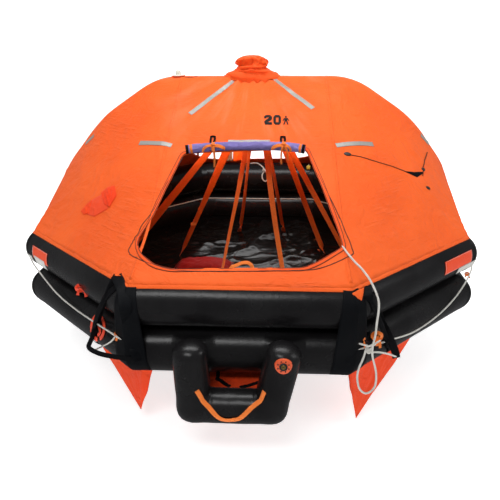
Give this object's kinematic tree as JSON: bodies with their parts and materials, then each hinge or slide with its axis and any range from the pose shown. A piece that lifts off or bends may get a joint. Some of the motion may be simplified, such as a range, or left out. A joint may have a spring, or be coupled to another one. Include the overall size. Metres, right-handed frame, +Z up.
{
  "type": "life raft",
  "caption": "Eight-sided canopied inflatable life raft with two stacked tubes, cross arch, lifting straps, hanging boarding ramp and water pockets.",
  "frame": {"origin": "middle of the raft at its light waterline", "axes": "+X across the raft along the arch, -Y out of the front entrance with the boarding ramp, +Z up"},
  "size_m": [3.7514, 3.986, 2.5619],
  "materials": {
    "black_rubber": "semi-gloss coated fabric",
    "canopy_cloth": "bright orange coated cloth",
    "black_band": "matte",
    "bag_cloth": "dark red",
    "door_lining": "lilac lining",
    "steel": "plain",
    "rope": "off-white",
    "pocket_cloth": "red-orange cloth",
    "valve_plastic": "orange",
    "webbing": "orange webbing",
    "white_patch": "off-white"
  },
  "bodies": {
    "raft": {"arch_sling_left": "webbing", "arch_sling_right": "webbing", "arch_tube": "black_rubber", "canopy": "canopy_cloth", "canopy_light": "white_patch", "corner_band_front_left": "black_band", "corner_band_front_right": "black_band", "corner_band_rear_left": "black_band", "corner_band_rear_right": "black_band", "corner_strap_front_left": "black_band", "corner_strap_front_right": "black_band", "corner_strap_rear_left": "black_band", "corner_strap_rear_right": "black_band", "equipment_bag": "bag_cloth", "floor": "black_rubber", "front_door_roll": "door_lining", "front_rope": "rope", "gas_cylinder": "steel", "gas_strap_left": "black_band", "gas_strap_right": "black_band", "grab_line_1": "rope", "grab_line_2": "rope", "grab_line_3": "rope", "grab_line_5": "rope", "grab_line_6": "rope", "grab_line_7": "rope", "inner_grab_line": "rope", "label_patch_left": "webbing", "label_patch_right": "webbing", "lift_ring": "steel", "lift_strap_a": "webbing", "lift_strap_b": "webbing", "lift_strap_c": "webbing", "lift_strap_d": "webbing", "lift_strap_e": "webbing", "lift_strap_f": "webbing", "lift_strap_g": "webbing", "lift_strap_h": "webbing", "line_patch_1": "white_patch", "line_patch_2": "white_patch", "line_patch_3": "white_patch", "line_patch_4": "white_patch", "lower_tube": "black_rubber", "lower_tube_valve": "valve_plastic", "ramp_collar_left": "black_rubber", "ramp_collar_right": "black_rubber", "rear_door_roll": "door_lining", "ridge_sleeve": "canopy_cloth", "tow_patch": "black_band", "upper_tube": "black_rubber", "upper_tube_valve": "valve_plastic", "water_pocket_front_left": "pocket_cloth", "water_pocket_front_right": "pocket_cloth", "water_pocket_rear_left": "pocket_cloth", "water_pocket_rear_right": "pocket_cloth"},
    "ramp": {"boarding_ramp": "black_rubber", "ramp_handle": "webbing", "ramp_panel": "pocket_cloth", "ramp_valve": "valve_plastic"}
  },
  "joints": [
    {"name": "ramp_hinge", "type": "hinge", "parent": "raft", "child": "ramp", "pos_m": [-0.005, -1.985, 0.23], "axis": [-1, 0, 0], "range_deg": [0, 80]}
  ]
}
